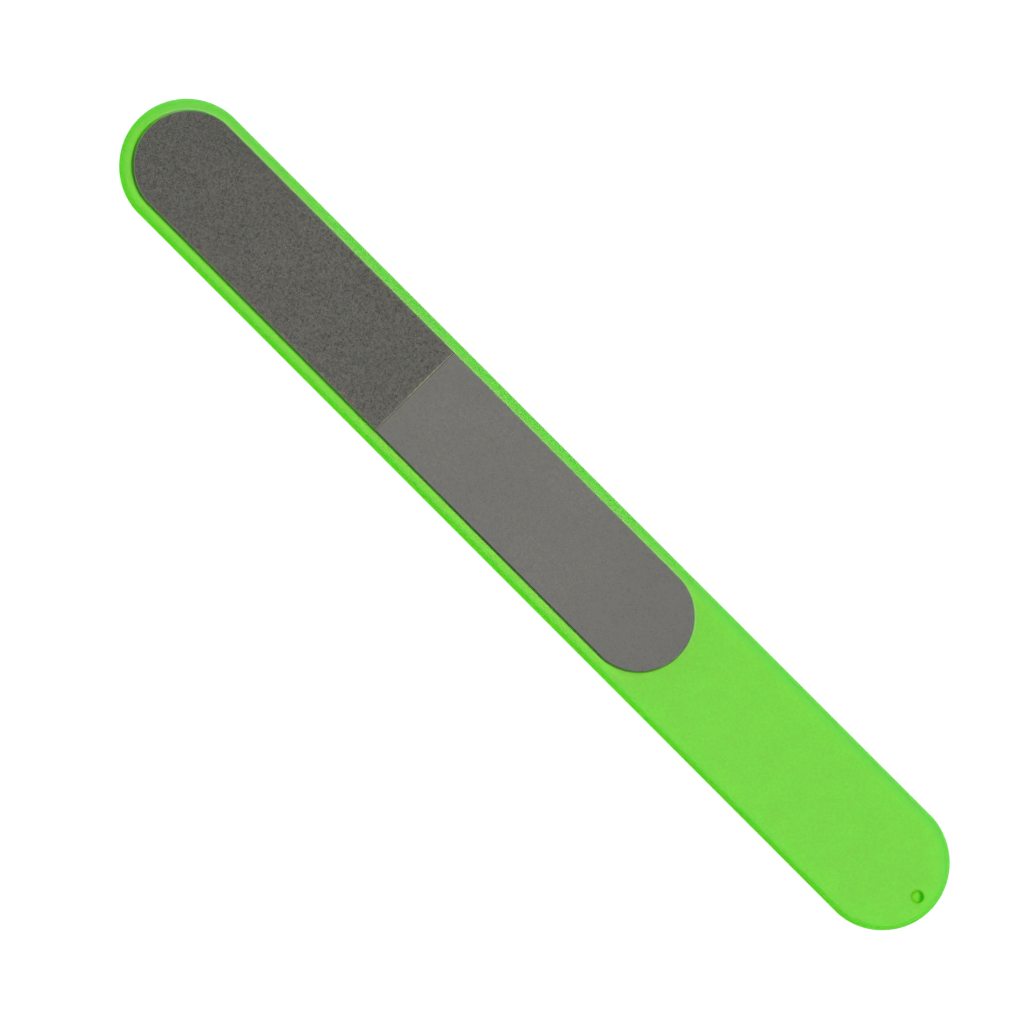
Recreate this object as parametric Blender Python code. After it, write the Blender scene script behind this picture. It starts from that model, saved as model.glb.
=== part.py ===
"""A two-grit nail file: a moulded plastic blade with two abrasive strips bonded into a shallow pocket.

It lies on its flat back. X runs along the blade with the handle towards +X, Y runs across it and Z is up.
The origin is under the middle of the blade, on the surface that it lies on. Lengths are in metres.
"""

import math

import bmesh
import bpy

# Blade: one moulding whose ends are arcs that meet the straight sides at a faint corner.
BLADE_LENGTH = 0.178
BLADE_WIDTH = 0.0215
BLADE_THICKNESS = 0.003
BLADE_END_RISE = 0.010
FACE_EDGE_RADIUS = 0.00095
BACK_EDGE_RADIUS = 0.0006

# Pocket in the face, for the strips. The bare handle is what it leaves at the +X end.
POCKET_LENGTH = 0.119
POCKET_DEPTH = 0.0005
POCKET_END_RISE = 0.00835
SIDE_RIM = 0.00175
TIP_RIM = 0.0021
POCKET_LIP_RADIUS = 0.0001

# Round dimple near the end of the handle, on the centreline.
DIMPLE_DIAMETER = 0.0023
DIMPLE_DEPTH = 0.0009
DIMPLE_SETBACK = 0.00302
DIMPLE_LIP_RADIUS = 0.00015

# Shallow marks that the ejector pins leave on the back.
EJECTOR_MARK_DIAMETER = 0.0032
EJECTOR_MARK_DEPTH = 0.00006
EJECTOR_PLACE_SHARES = (-0.43, -0.15, 0.15, 0.43)

# Strips: both lean against the +Y wall of the pocket, so their gap shows along the -Y wall and at the tip.
COARSE_STRIP_LENGTH = 0.0592
STRIP_OPEN_SIDE_GAP = 0.0003
STRIP_SEATED_SIDE_GAP = 0.00005
STRIP_TIP_GAP = 0.0003
STRIP_HANDLE_GAP = 0.0001
SEAM_GAP = 0.0001

# Layers of a strip, from the pocket floor up. They are thinner than a usual working gap,
# so each rests on the one below with only a glue line between.
FILM_THICKNESS = 0.0001
COARSE_PAPER_THICKNESS = 0.00025
COARSE_GRIT_THICKNESS = 0.00035
FINE_PAPER_THICKNESS = 0.00022
FINE_GRIT_THICKNESS = 0.00018
GLUE_LINE = 0.00002

# How far a cutter reaches past the face that it opens.
CUT_OVERRUN = 0.001

# Facets of the round shapes, the profile that makes a bevel circular,
# and the angle above which an edge stays sharp.
END_ARC_FACETS = 40
EDGE_FACETS = 5
LIP_FACETS = 3
ROUND_HOLE_FACETS = 32
CIRCULAR_PROFILE = 0.5
SHARP_DEGREES = 30

# Finishes: linear colour, roughness and metallic value.
LIME_PLASTIC = ((0.19, 0.68, 0.065), 0.5, 0.0)
COARSE_ABRASIVE = ((0.12, 0.12, 0.105), 0.9, 0.0)
FINE_ABRASIVE = ((0.175, 0.175, 0.16), 0.85, 0.0)
BUFF_PAPER = ((0.42, 0.33, 0.2), 0.9, 0.0)
DARK_PAPER = ((0.05, 0.045, 0.04), 0.9, 0.0)
CLEAR_ADHESIVE = ((0.6, 0.58, 0.5), 0.35, 0.0)

# Where the layers and the strips end, from the sizes above.
POCKET_FLOOR = BLADE_THICKNESS - POCKET_DEPTH
POCKET_TIP_X = TIP_RIM - BLADE_LENGTH / 2
POCKET_HANDLE_X = POCKET_TIP_X + POCKET_LENGTH
POCKET_SIDE_Y = BLADE_WIDTH / 2 - SIDE_RIM
STRIP_TIP_X = POCKET_TIP_X + STRIP_TIP_GAP
STRIP_HANDLE_X = POCKET_HANDLE_X - STRIP_HANDLE_GAP
STRIP_LOW_Y = STRIP_OPEN_SIDE_GAP - POCKET_SIDE_Y
STRIP_HIGH_Y = POCKET_SIDE_Y - STRIP_SEATED_SIDE_GAP
COARSE_END_RISE = POCKET_END_RISE - STRIP_TIP_GAP
FINE_END_RISE = POCKET_END_RISE - STRIP_HANDLE_GAP
COARSE_SEAM_X = STRIP_TIP_X + COARSE_STRIP_LENGTH
FINE_SEAM_X = COARSE_SEAM_X + SEAM_GAP


def clear_scene():
    """Remove the objects that are already in the scene."""
    for obj in list(bpy.data.objects):
        bpy.data.objects.remove(obj, do_unlink=True)


def give_finish(obj, finish):
    """Give the piece a material of its own with this colour, roughness and metallic value."""
    colour, roughness, metallic = finish
    material = bpy.data.materials.new(f"{obj.name}_finish")
    material.use_nodes = True
    shader = material.node_tree.nodes["Principled BSDF"]
    shader.inputs["Base Color"].default_value = (*colour, 1.0)
    shader.inputs["Roughness"].default_value = roughness
    shader.inputs["Metallic"].default_value = metallic
    material.diffuse_color = (*colour, 1.0)
    obj.data.materials.append(material)


def end_arc(x_corner, y_low, y_high, rise, facing):
    """Points of a round end: an arc through both corners that reaches `rise` past them.

    `facing` is 1 for an end towards +X and -1 for one towards -X. The points run anticlockwise.
    """
    half_width = (y_high - y_low) / 2
    middle = (y_high + y_low) / 2
    radius = (half_width**2 + rise**2) / (2 * rise)
    half_angle = math.atan2(half_width, radius - rise)
    centre_x = x_corner - facing * (radius - rise)
    points = []
    for step in range(END_ARC_FACETS + 1):
        angle = half_angle * (2 * step / END_ARC_FACETS - 1)
        x = centre_x + facing * radius * math.cos(angle)
        y = middle + facing * radius * math.sin(angle)
        points.append((x, y))
    return points


def board_outline(x_low, x_high, y_low, y_high, rise):
    """A long outline with straight sides and two round ends, anticlockwise."""
    handle_end = end_arc(x_high - rise, y_low, y_high, rise, 1)
    tip_end = end_arc(x_low + rise, y_low, y_high, rise, -1)
    return handle_end + tip_end


def circle_outline(x, y, radius):
    """A circle as a regular outline, anticlockwise."""
    turn = 2 * math.pi / ROUND_HOLE_FACETS
    steps = range(ROUND_HOLE_FACETS)
    return [(x + radius * math.cos(turn * k), y + radius * math.sin(turn * k)) for k in steps]


def stacked_solid(name, levels):
    """A closed solid from (height, outline) levels, lowest first, each with as many points as the next."""
    bm = bmesh.new()
    loops = []
    for height, outline in levels:
        ring = [bm.verts.new((x, y, height)) for x, y in outline]
        pairs = zip(ring, ring[1:] + ring[:1])
        loops.append([bm.edges.new(pair) for pair in pairs])
        if len(loops) in (1, len(levels)):
            bm.faces.new(ring)
    for lower, upper in zip(loops, loops[1:]):
        bmesh.ops.bridge_loops(bm, edges=lower + upper)
    bmesh.ops.recalc_face_normals(bm, faces=bm.faces)
    mesh = bpy.data.meshes.new(name)
    bm.to_mesh(mesh)
    bm.free()
    obj = bpy.data.objects.new(name, mesh)
    bpy.context.scene.collection.objects.link(obj)
    return obj


def round_off_rim(obj, height, radius):
    """Round the edges of the solid that lie all round at this height."""
    bm = bmesh.new()
    bm.from_mesh(obj.data)
    near = radius / EDGE_FACETS
    rim = [edge for edge in bm.edges if all(abs(v.co.z - height) < near for v in edge.verts)]
    bmesh.ops.bevel(
        bm,
        geom=rim,
        offset=radius,
        segments=EDGE_FACETS,
        profile=CIRCULAR_PROFILE,
        affect="EDGES",
        clamp_overlap=True,
    )
    bm.to_mesh(obj.data)
    bm.free()


def lipped_levels(outline_at, floor, lip_radius):
    """Levels of a cutter that leaves a rounded lip where it breaks through the blade's face.

    `outline_at` gives the cutter's outline grown by a distance.
    """
    levels = [(floor, outline_at(0.0))]
    for step in range(LIP_FACETS + 1):
        angle = step / LIP_FACETS * math.pi / 2
        drop = lip_radius * (1 - math.sin(angle))
        growth = lip_radius * (1 - math.cos(angle))
        levels.append((BLADE_THICKNESS - drop, outline_at(growth)))
    levels.append((BLADE_THICKNESS + CUT_OVERRUN, outline_at(lip_radius)))
    return levels


def as_cutter(obj):
    """Keep a helper solid out of the finished object."""
    obj.hide_render = True
    obj.display_type = "WIRE"
    return obj


def cut_with(target, cutter):
    """Take the cutter's shape out of the target."""
    cut = target.modifiers.new(cutter.name, "BOOLEAN")
    cut.operation = "DIFFERENCE"
    cut.solver = "EXACT"
    cut.object = cutter


def shade_round(obj):
    """Shade the curved faces smooth and keep the sharp edges sharp."""
    obj.data.shade_smooth()
    obj.data.set_sharp_from_angle(angle=math.radians(SHARP_DEGREES))


def pocket_cutter():
    """The shape of the pocket, with the lip round its mouth."""

    def outline_at(growth):
        return board_outline(
            POCKET_TIP_X - growth,
            POCKET_HANDLE_X + growth,
            -POCKET_SIDE_Y - growth,
            POCKET_SIDE_Y + growth,
            POCKET_END_RISE + growth,
        )

    levels = lipped_levels(outline_at, POCKET_FLOOR, POCKET_LIP_RADIUS)
    return as_cutter(stacked_solid("pocket_cutter", levels))


def dimple_cutter():
    """The shape of the blind dimple in the handle."""
    centre_x = BLADE_LENGTH / 2 - DIMPLE_SETBACK

    def outline_at(growth):
        return circle_outline(centre_x, 0.0, DIMPLE_DIAMETER / 2 + growth)

    levels = lipped_levels(outline_at, BLADE_THICKNESS - DIMPLE_DEPTH, DIMPLE_LIP_RADIUS)
    return as_cutter(stacked_solid("dimple_cutter", levels))


def ejector_mark_cutter(number, place_share):
    """One round ejector mark, sunk into the back on the centreline."""
    outline = circle_outline(place_share * BLADE_LENGTH, 0.0, EJECTOR_MARK_DIAMETER / 2)
    levels = [(-CUT_OVERRUN, outline), (EJECTOR_MARK_DEPTH, outline)]
    return as_cutter(stacked_solid(f"ejector_mark_cutter_{number}", levels))


def make_handle_blade():
    """The moulded blade: a rounded slab with the pocket, the dimple and the ejector marks cut from it."""
    half_length = BLADE_LENGTH / 2
    half_width = BLADE_WIDTH / 2
    outline = board_outline(-half_length, half_length, -half_width, half_width, BLADE_END_RISE)
    blade = stacked_solid("handle_blade", [(0.0, outline), (BLADE_THICKNESS, outline)])
    round_off_rim(blade, BLADE_THICKNESS, FACE_EDGE_RADIUS)
    round_off_rim(blade, 0.0, BACK_EDGE_RADIUS)
    shade_round(blade)
    give_finish(blade, LIME_PLASTIC)
    cut_with(blade, pocket_cutter())
    cut_with(blade, dimple_cutter())
    for number, place_share in enumerate(EJECTOR_PLACE_SHARES, start=1):
        cut_with(blade, ejector_mark_cutter(number, place_share))


def coarse_outline():
    """Outline of the coarse strip: round at the blade's tip and cut straight at the seam."""
    corner_x = STRIP_TIP_X + COARSE_END_RISE
    round_end = end_arc(corner_x, STRIP_LOW_Y, STRIP_HIGH_Y, COARSE_END_RISE, -1)
    return round_end + [(COARSE_SEAM_X, STRIP_LOW_Y), (COARSE_SEAM_X, STRIP_HIGH_Y)]


def fine_outline():
    """Outline of the fine strip: cut straight at the seam and round towards the handle."""
    corner_x = STRIP_HANDLE_X - FINE_END_RISE
    round_end = end_arc(corner_x, STRIP_LOW_Y, STRIP_HIGH_Y, FINE_END_RISE, 1)
    return round_end + [(FINE_SEAM_X, STRIP_HIGH_Y), (FINE_SEAM_X, STRIP_LOW_Y)]


def make_layers(outline, layers):
    """Stack flat layers of one outline on the pocket floor, each a glue line above the one below."""
    base = POCKET_FLOOR
    for name, thickness, finish in layers:
        base += GLUE_LINE
        layer = stacked_solid(name, [(base, outline), (base + thickness, outline)])
        shade_round(layer)
        give_finish(layer, finish)
        base += thickness


def make_coarse_strip():
    """The coarse strip: adhesive film, buff paper and the coat of coarse grains."""
    make_layers(
        coarse_outline(),
        [
            ("coarse_adhesive_film", FILM_THICKNESS, CLEAR_ADHESIVE),
            ("coarse_backing_paper", COARSE_PAPER_THICKNESS, BUFF_PAPER),
            ("coarse_grit_layer", COARSE_GRIT_THICKNESS, COARSE_ABRASIVE),
        ],
    )


def make_fine_strip():
    """The fine strip: adhesive film, dark paper and the coat of fine grains."""
    make_layers(
        fine_outline(),
        [
            ("fine_adhesive_film", FILM_THICKNESS, CLEAR_ADHESIVE),
            ("fine_backing_paper", FINE_PAPER_THICKNESS, DARK_PAPER),
            ("fine_grit_layer", FINE_GRIT_THICKNESS, FINE_ABRASIVE),
        ],
    )


clear_scene()
make_handle_blade()
make_coarse_strip()
make_fine_strip()
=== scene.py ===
import math
from collections import namedtuple

import bmesh
import bpy
from mathutils import Matrix, Vector


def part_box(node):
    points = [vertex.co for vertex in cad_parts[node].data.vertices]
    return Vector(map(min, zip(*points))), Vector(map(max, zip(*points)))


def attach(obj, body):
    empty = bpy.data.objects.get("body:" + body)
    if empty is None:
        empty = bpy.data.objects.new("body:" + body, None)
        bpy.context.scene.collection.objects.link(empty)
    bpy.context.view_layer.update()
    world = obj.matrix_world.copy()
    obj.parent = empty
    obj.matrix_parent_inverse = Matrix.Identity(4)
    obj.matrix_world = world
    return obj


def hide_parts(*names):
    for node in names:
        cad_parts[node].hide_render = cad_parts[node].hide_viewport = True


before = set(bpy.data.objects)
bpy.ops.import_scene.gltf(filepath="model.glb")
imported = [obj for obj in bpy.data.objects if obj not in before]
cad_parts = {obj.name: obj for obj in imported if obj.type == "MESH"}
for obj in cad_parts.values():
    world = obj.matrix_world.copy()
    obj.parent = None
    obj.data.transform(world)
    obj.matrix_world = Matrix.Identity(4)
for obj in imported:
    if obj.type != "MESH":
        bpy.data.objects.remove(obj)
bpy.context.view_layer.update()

# The blade: one injection moulding in lime-green ABS, a board with round ends, a pocket for the two
# strips and a blind dimple at the handle. Its back keeps the shallow marks of the ejector pins.

BLADE_LENGTH = 0.178
BLADE_WIDTH = 0.0215
BLADE_THICKNESS = 0.003
POCKET_TIP_X = -0.08705
POCKET_LENGTH = 0.11915
POCKET_WIDTH = 0.018
DIMPLE_X, DIMPLE_Y = 0.08594, -0.00008
BLADE_SIZES = {
    "Length": BLADE_LENGTH,
    "Width": BLADE_WIDTH,
    "Thickness": BLADE_THICKNESS,
    "End Rise": 0.010,
    "Face Edge Radius": 0.00095,
    "Back Edge Radius": 0.0006,
    "Pocket Tip": POCKET_TIP_X,
    "Pocket Length": POCKET_LENGTH,
    "Pocket Width": POCKET_WIDTH,
    "Pocket End Rise": 0.00835,
    "Pocket Floor": BLADE_THICKNESS - 0.0005,
    "Pocket Lip": 0.00007,
    "Pocket Foot": 0.00008,
    "Dimple Radius": 0.0009,
    "Dimple Middle": (DIMPLE_X, DIMPLE_Y, 0.0),
    "Dimple Floor": BLADE_THICKNESS - 0.0009,
    "Dimple Lip": 0.0004,
    "Dimple Foot": 0.00048,
    "Mark Radius": 0.0016,
    "Mark Depth": 0.00006,
    "Mark Edge": 0.00002,
    "End Points": 97,
    "Edge Facets": 10,
    "Lip Facets": 6,
    "Hole Points": 48,
}
MARK_PLACE_SHARES = (-0.43, -0.15, 0.15, 0.43)
# A narrow flat shelf beside each rounding keeps the large flat faces evenly shaded.
SHELF = 0.00005
OUTSIDE, INSIDE = 1.0, -1.0
TEAR_LEFT_AT_REACH = 0.4
WELD_DISTANCE = 0.000001
SHARP_ANGLE = math.radians(40)
NODE_STEP = 190

FLOAT, COUNT, PLACE = "NodeSocketFloat", "NodeSocketInt", "NodeSocketVector"
SHAPE, FINISH = "NodeSocketGeometry", "NodeSocketMaterial"
MATH, RANGE, GROUP = "ShaderNodeMath", "ShaderNodeMapRange", "GeometryNodeGroup"
KINDS = {float: FLOAT, int: COUNT, tuple: PLACE}
OUTLINE_LENGTHS = (
    *("Low End", "High End", "Low Rise", "High Rise", "Low Side", "High Side"),
    *("Tear Depth", "Tear Width", "Tear Middle", "Tear Reach"),
)
OUTLINE_SIZES = dict.fromkeys(OUTLINE_LENGTHS, FLOAT) | {"End Points": COUNT}


def add(tree, kind, inputs=(), **settings):
    """Add a node with its settings. Its inputs are a dict by name, or a tuple in their order.

    Each takes a value, a node, a socket or a list of them.
    """
    made = tree.nodes.new(kind)
    made.location.x = NODE_STEP * len(tree.nodes)
    for name, value in settings.items():
        setattr(made, name, value)
    for key, value in enumerate(inputs) if isinstance(inputs, tuple) else inputs.items():
        if isinstance(key, int):
            socket = made.inputs[key]
        else:
            socket = next(s for s in made.inputs if s.enabled and s.name == key)
        for source in value if isinstance(value, list) else [value]:
            if isinstance(source, bpy.types.Node):
                source = next(s for s in source.outputs if s.enabled)
            if isinstance(source, bpy.types.NodeSocket):
                tree.links.new(source, socket)
            else:
                socket.default_value = source
    return made


def new_tree(name, inputs, result):
    """A geometry tree with these named inputs and one result. Returns it with its inputs."""
    tree = bpy.data.node_groups.new(name, "GeometryNodeTree")
    for label, kind in inputs.items():
        tree.interface.new_socket(label, in_out="INPUT", socket_type=kind)
    tree.interface.new_socket(result, in_out="OUTPUT", socket_type=SHAPE)
    return tree, add(tree, "NodeGroupInput").outputs


def board_outline():
    """Outline of a board. Each of its two ends is an arc that rises past its corners, or is square.

    A tear bites into the high end, deepest at its middle.
    """
    tree, given = new_tree("board outline", OUTLINE_SIZES, "Curve")
    index = add(tree, "GeometryNodeInputIndex")
    step = add(tree, MATH, (index, given["End Points"]), operation="MODULO")
    steps = add(tree, MATH, (given["End Points"], 1.0), operation="SUBTRACT")
    along = add(tree, MATH, (step, steps), operation="DIVIDE")
    sides = add(tree, MATH, (given["Low Side"], given["High Side"]), operation="ADD")
    middle = add(tree, MATH, (sides, 0.5), operation="MULTIPLY")
    places = []
    for end, way, first, last in (("High", 1.0, "Low", "High"), ("Low", -1.0, "High", "Low")):
        rise = add(tree, MATH, (given[f"{end} Rise"], way), operation="MULTIPLY")
        corner = add(tree, MATH, (given[f"{end} End"], rise), operation="SUBTRACT")
        points = {
            "Start": (corner, given[f"{first} Side"]),
            "Middle": (given[f"{end} End"], middle),
            "End": (corner, given[f"{last} Side"]),
        }
        spots = {label: add(tree, "ShaderNodeCombineXYZ", spot) for label, spot in points.items()}
        spots["Resolution"] = given["End Points"]
        arc = add(tree, "GeometryNodeCurveArc", spots, mode="POINTS")
        sample = add(
            tree, "GeometryNodeSampleCurve", {"Curves": arc, "Factor": along}, mode="FACTOR"
        )
        places.append(sample.outputs["Position"])
    high_place, low_place = places
    tear_scale = add(tree, MATH, (1.0, given["Tear Width"]), operation="DIVIDE")
    tear = add(
        tree, "ShaderNodeTexNoise", {"Vector": high_place, "Scale": tear_scale, "Detail": 3.0}
    )
    level = add(tree, "ShaderNodeSeparateXYZ", (high_place,)).outputs["Y"]
    off = add(tree, MATH, (level, given["Tear Middle"]), operation="SUBTRACT")
    fades = add(
        tree, RANGE,
        {
            "Value": add(tree, MATH, (off,), operation="ABSOLUTE"),
            "From Max": given["Tear Reach"],
            "To Min": 1.0,
            "To Max": TEAR_LEFT_AT_REACH,
        },
        interpolation_type="SMOOTHSTEP",
    )
    torn = add(tree, MATH, (tear, given["Tear Depth"]), operation="MULTIPLY")
    bite = add(tree, MATH, (torn, fades), operation="MULTIPLY")
    bite_there = add(tree, "ShaderNodeCombineXYZ", (bite,))
    high_torn = add(tree, "ShaderNodeVectorMath", (high_place, bite_there), operation="SUBTRACT")
    is_high = add(
        tree, "FunctionNodeCompare",
        {"A": index, "B": given["End Points"]}, operation="LESS_THAN", data_type="INT",
    )
    place = add(
        tree, "GeometryNodeSwitch",
        {"Switch": is_high, "False": low_place, "True": high_torn}, input_type="VECTOR",
    )
    both = add(tree, MATH, (given["End Points"], 2.0), operation="MULTIPLY")
    ring = add(tree, "GeometryNodeCurvePrimitiveCircle", {"Resolution": both}, mode="RADIUS")
    shaped = add(tree, "GeometryNodeSetPosition", {"Geometry": ring, "Position": place})
    add(tree, "NodeGroupOutput", {"Curve": shaped})
    return tree


def moulded_step():
    """Walls that follow an outline from one height to another, with a rounding and a shelf at each.

    Each shelf lies outside or inside the outline.
    """
    sizes = [f"{end} {size}" for end in ("Start", "End") for size in ("Side", "Height", "Radius")]
    inputs = {"Outline": SHAPE, "Facets": COUNT} | dict.fromkeys(sizes, FLOAT)
    tree, given = new_tree("moulded step", inputs, "Mesh")
    corners = []
    for end in ("Start", "End"):
        # A swept section's Y points down, so the heights turn over.
        down = add(tree, MATH, (given[f"{end} Height"], -1.0), operation="MULTIPLY")
        width = add(tree, MATH, (given[f"{end} Radius"], SHELF), operation="ADD")
        run = add(tree, MATH, (width, given[f"{end} Side"]), operation="MULTIPLY")
        corners.append(add(tree, "ShaderNodeCombineXYZ", {"Y": down}))
        corners.append(add(tree, "ShaderNodeCombineXYZ", (run, down)))
    start, start_shelf, end, end_shelf = corners
    section = add(
        tree, "GeometryNodeCurvePrimitiveQuadrilateral",
        {"Point 1": start_shelf, "Point 2": start, "Point 3": end, "Point 4": end_shelf},
        mode="POINTS",
    )
    opened = add(tree, "GeometryNodeSetSplineCyclic", {"Geometry": section, "Cyclic": False})
    is_start = add(
        tree, "FunctionNodeCompare",
        {"A": add(tree, "GeometryNodeInputIndex"), "B": 2}, operation="LESS_THAN", data_type="INT",
    )
    radius = add(
        tree, "GeometryNodeSwitch",
        {"Switch": is_start, "False": given["End Radius"], "True": given["Start Radius"]},
        input_type="FLOAT",
    )
    rounded = add(
        tree, "GeometryNodeFilletCurve",
        {"Curve": opened, "Count": given["Facets"], "Radius": radius, "Limit Radius": False},
        mode="POLY",
    )
    walls = add(
        tree, "GeometryNodeCurveToMesh", {"Curve": given["Outline"], "Profile Curve": rounded}
    )
    add(tree, "NodeGroupOutput", {"Mesh": walls})
    return tree


def flat_face():
    """The flat face between the open rims that some walls have at one height."""
    tree, given = new_tree("flat face", {"Walls": SHAPE, "Height": FLOAT}, "Mesh")
    place = add(tree, "ShaderNodeSeparateXYZ", (add(tree, "GeometryNodeInputPosition"),))
    at_height = add(
        tree, "FunctionNodeCompare",
        {"A": place.outputs["Z"], "B": given["Height"], "Epsilon": WELD_DISTANCE},
        operation="EQUAL", data_type="FLOAT",
    )
    is_rim = add(
        tree, "FunctionNodeCompare",
        {"A": add(tree, "GeometryNodeInputMeshEdgeNeighbors"), "B": 1}, operation="EQUAL",
        data_type="INT",
    )
    chosen = add(tree, "FunctionNodeBooleanMath", (at_height, is_rim), operation="AND")
    rims = add(tree, "GeometryNodeMeshToCurve", {"Mesh": given["Walls"], "Selection": chosen})
    filled = add(tree, "GeometryNodeFillCurve", {"Curve": rims}, mode="TRIANGLES")
    lift = add(tree, "ShaderNodeCombineXYZ", {"Z": given["Height"]})
    raised = add(tree, "GeometryNodeSetPosition", {"Geometry": filled, "Offset": lift})
    add(tree, "NodeGroupOutput", {"Mesh": raised})
    return tree


OUTLINE, STEP, FACE = board_outline(), moulded_step(), flat_face()


def close_up(tree, walls, heights, finish):
    """End a tree: shut its walls with a flat face at each height, weld all and set the material."""
    faces = [
        add(tree, GROUP, {"Walls": walls, "Height": height}, node_tree=FACE)
        for height in heights
    ]
    joined = add(tree, "GeometryNodeJoinGeometry", {"Geometry": [walls, *faces]})
    welded = add(
        tree, "GeometryNodeMergeByDistance", {"Geometry": joined, "Distance": WELD_DISTANCE}
    )
    real = add(tree, "GeometryNodeRealizeInstances", {"Geometry": welded})
    finished = add(tree, "GeometryNodeSetMaterial", {"Geometry": real, "Material": finish})
    add(tree, "NodeGroupOutput", {"Mesh": finished})


def moulded_blade():
    """The whole moulding: the rim, the pocket, the dimple and the ejector marks."""
    inputs = {label: KINDS[type(size)] for label, size in BLADE_SIZES.items()}
    inputs["Finish"] = FINISH
    tree, given = new_tree("moulded blade", inputs, "Mesh")
    halves = {
        (side, size): add(tree, MATH, (given[size], half), operation="MULTIPLY")
        for side, half in (("Low", -0.5), ("High", 0.5))
        for size in ("Length", "Width", "Pocket Width")
    }
    far_end = add(tree, MATH, (given["Pocket Tip"], given["Pocket Length"]), operation="ADD")
    rim, mouth = [
        add(
            tree, GROUP,
            {
                "Low End": low_end,
                "High End": high_end,
                "Low Rise": given[rise],
                "High Rise": given[rise],
                "Low Side": halves["Low", width],
                "High Side": halves["High", width],
                "End Points": given["End Points"],
            },
            node_tree=OUTLINE,
        )
        for low_end, high_end, rise, width in (
            (halves["Low", "Length"], halves["High", "Length"], "End Rise", "Width"),
            (given["Pocket Tip"], far_end, "Pocket End Rise", "Pocket Width"),
        )
    ]
    dimple_ring, mark_ring = [
        add(
            tree, "GeometryNodeCurvePrimitiveCircle",
            {"Resolution": given["Hole Points"], "Radius": given[radius]}, mode="RADIUS",
        )
        for radius in ("Dimple Radius", "Mark Radius")
    ]
    hole = add(
        tree, "GeometryNodeSetPosition",
        {"Geometry": dimple_ring, "Offset": given["Dimple Middle"]},
    )
    # One pin mark at each of four shares of the length.
    pins = add(tree, "GeometryNodeMeshLine", {"Count": len(MARK_PLACE_SHARES)})
    share = add(tree, "GeometryNodeIndexSwitch", data_type="FLOAT")
    while len(share.index_switch_items) < len(MARK_PLACE_SHARES):
        share.index_switch_items.new()
    tree.links.new(add(tree, "GeometryNodeInputIndex").outputs[0], share.inputs["Index"])
    for socket, mark_share in zip(list(share.inputs)[1:], MARK_PLACE_SHARES):
        socket.default_value = mark_share
    along = add(tree, MATH, (share, given["Length"]), operation="MULTIPLY")
    pin_place = add(tree, "ShaderNodeCombineXYZ", (along,))
    pins_there = add(tree, "GeometryNodeSetPosition", {"Geometry": pins, "Position": pin_place})
    prints = add(
        tree, "GeometryNodeInstanceOnPoints", {"Points": pins_there, "Instance": mark_ring}
    )
    marks = add(tree, "GeometryNodeRealizeInstances", {"Geometry": prints})
    top = given["Thickness"]
    walls = [
        add(
            tree, GROUP,
            {
                "Outline": outline,
                "Start Side": side,
                "Start Height": start,
                "Start Radius": given[start_radius],
                "End Side": INSIDE,
                "End Height": given[end],
                "End Radius": given[end_radius],
                "Facets": given[facets],
            },
            node_tree=STEP,
        )
        for outline, side, start, start_radius, end, end_radius, facets in (
            (rim, INSIDE, 0.0, "Back Edge Radius", "Thickness", "Face Edge Radius", "Edge Facets"),
            (mouth, OUTSIDE, top, "Pocket Lip", "Pocket Floor", "Pocket Foot", "Lip Facets"),
            (hole, OUTSIDE, top, "Dimple Lip", "Dimple Floor", "Dimple Foot", "Lip Facets"),
            (marks, OUTSIDE, 0.0, "Mark Edge", "Mark Depth", "Mark Edge", "Lip Facets"),
        )
    ]
    joined = add(tree, "GeometryNodeJoinGeometry", {"Geometry": walls})
    heights = (0.0, given["Mark Depth"], given["Dimple Floor"], given["Pocket Floor"], top)
    close_up(tree, joined, heights, given["Finish"])
    return tree


def grown(name, tree, sizes, angle=SHARP_ANGLE):
    """Run a tree with these sizes and keep its result as a plain mesh with its faces outwards."""
    piece = bpy.data.objects.new(name, bpy.data.meshes.new(name))
    bpy.context.scene.collection.objects.link(piece)
    modifier = piece.modifiers.new(tree.name, "NODES")
    modifier.node_group = tree
    identifiers = {
        item.name: item.identifier for item in tree.interface.items_tree if item.in_out == "INPUT"
    }
    for label, size in sizes.items():
        modifier[identifiers[label]] = size
    depsgraph = bpy.context.evaluated_depsgraph_get()
    mesh = bpy.data.meshes.new_from_object(piece.evaluated_get(depsgraph))
    piece.modifiers.remove(modifier)
    for number in reversed(range(len(mesh.materials))):
        if mesh.materials[number] is None:
            mesh.materials.pop(index=number)
    bm = bmesh.new()
    bm.from_mesh(mesh)
    bmesh.ops.recalc_face_normals(bm, faces=bm.faces)
    bm.to_mesh(mesh)
    bm.free()
    mesh.name = name
    mesh.shade_smooth()
    mesh.set_sharp_from_angle(angle=angle)
    piece.data = mesh
    return piece


def linear(colour):
    """Turn an sRGB hex colour into the linear colour that a node takes."""
    shares = [int(colour[start : start + 2], 16) / 255 for start in (1, 3, 5)]
    return (*[s / 12.92 if s <= 0.04045 else ((s + 0.055) / 1.055) ** 2.4 for s in shares], 1.0)


def new_material(name):
    """A material of this name with an empty tree. Returns both."""
    material = bpy.data.materials.new(name)
    material.use_nodes = True
    material.node_tree.nodes.clear()
    return material, material.node_tree


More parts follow.
